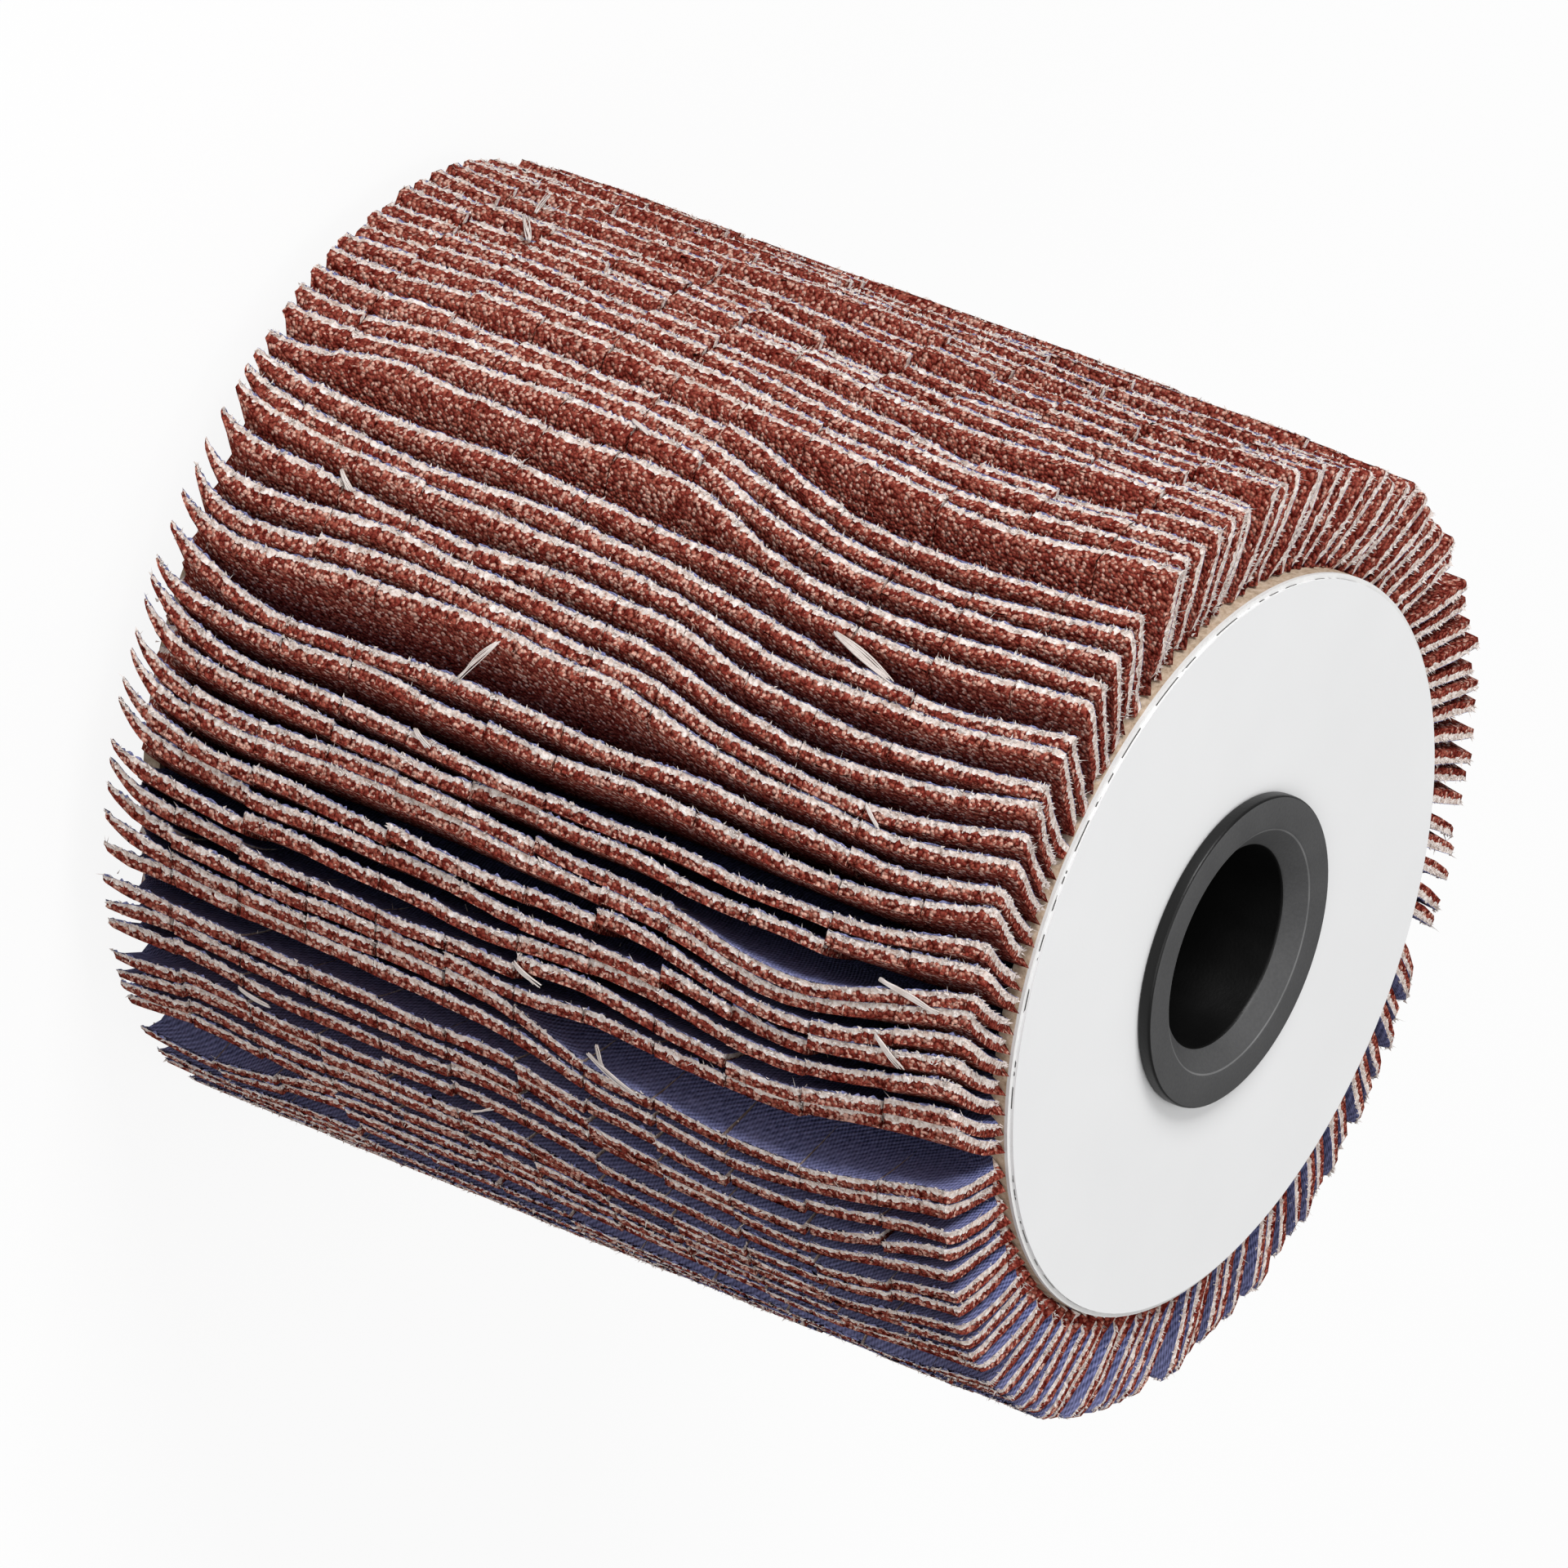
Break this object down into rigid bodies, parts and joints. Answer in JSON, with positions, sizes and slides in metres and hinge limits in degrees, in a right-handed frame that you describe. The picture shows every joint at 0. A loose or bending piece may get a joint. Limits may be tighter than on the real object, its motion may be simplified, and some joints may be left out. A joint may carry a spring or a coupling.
{
  "type": "flap wheel",
  "caption": "Abrasive flap wheel for a drum or roller sander: slit cloth flaps set on edge round a resin core, with end discs and flanged bushes.",
  "frame": {"origin": "middle of the rear bush's outer face, on which the wheel stands", "axes": "+Z along the arbor's axis, from the rear bush to the labelled front face"},
  "size_m": [0.06, 0.06, 0.0644],
  "materials": {
    "abrasive_cloth": "brown grit on one side, navy twill on the other",
    "bush_plastic": "satin",
    "fibreboard": "matt",
    "label_paper": "matt",
    "resin": "cast",
    "tube_board": "matt"
  },
  "bodies": {
    "root": {"core_tube": "tube_board", "flap_pack_01": "abrasive_cloth", "flap_pack_02": "abrasive_cloth", "flap_pack_03": "abrasive_cloth", "flap_pack_04": "abrasive_cloth", "flap_pack_05": "abrasive_cloth", "flap_pack_06": "abrasive_cloth", "flap_pack_07": "abrasive_cloth", "flap_pack_08": "abrasive_cloth", "flap_pack_09": "abrasive_cloth", "flap_pack_10": "abrasive_cloth", "flap_pack_11": "abrasive_cloth", "flap_pack_12": "abrasive_cloth", "flap_pack_13": "abrasive_cloth", "flap_pack_14": "abrasive_cloth", "flap_pack_15": "abrasive_cloth", "flap_pack_16": "abrasive_cloth", "flap_pack_17": "abrasive_cloth", "flap_pack_18": "abrasive_cloth", "flap_pack_19": "abrasive_cloth", "flap_pack_20": "abrasive_cloth", "flap_pack_21": "abrasive_cloth", "flap_pack_22": "abrasive_cloth", "flap_pack_23": "abrasive_cloth", "flap_pack_24": "abrasive_cloth", "flap_pack_25": "abrasive_cloth", "flap_pack_26": "abrasive_cloth", "flap_pack_27": "abrasive_cloth", "flap_pack_28": "abrasive_cloth", "flap_pack_29": "abrasive_cloth", "flap_pack_30": "abrasive_cloth", "flap_pack_31": "abrasive_cloth", "flap_pack_32": "abrasive_cloth", "flap_pack_33": "abrasive_cloth", "flap_pack_34": "abrasive_cloth", "flap_pack_35": "abrasive_cloth", "flap_pack_36": "abrasive_cloth", "front_bush": "bush_plastic", "front_end_disc": "fibreboard", "front_label": "label_paper", "rear_bush": "bush_plastic", "rear_end_disc": "fibreboard", "resin_core": "resin"}
  },
  "joints": []
}
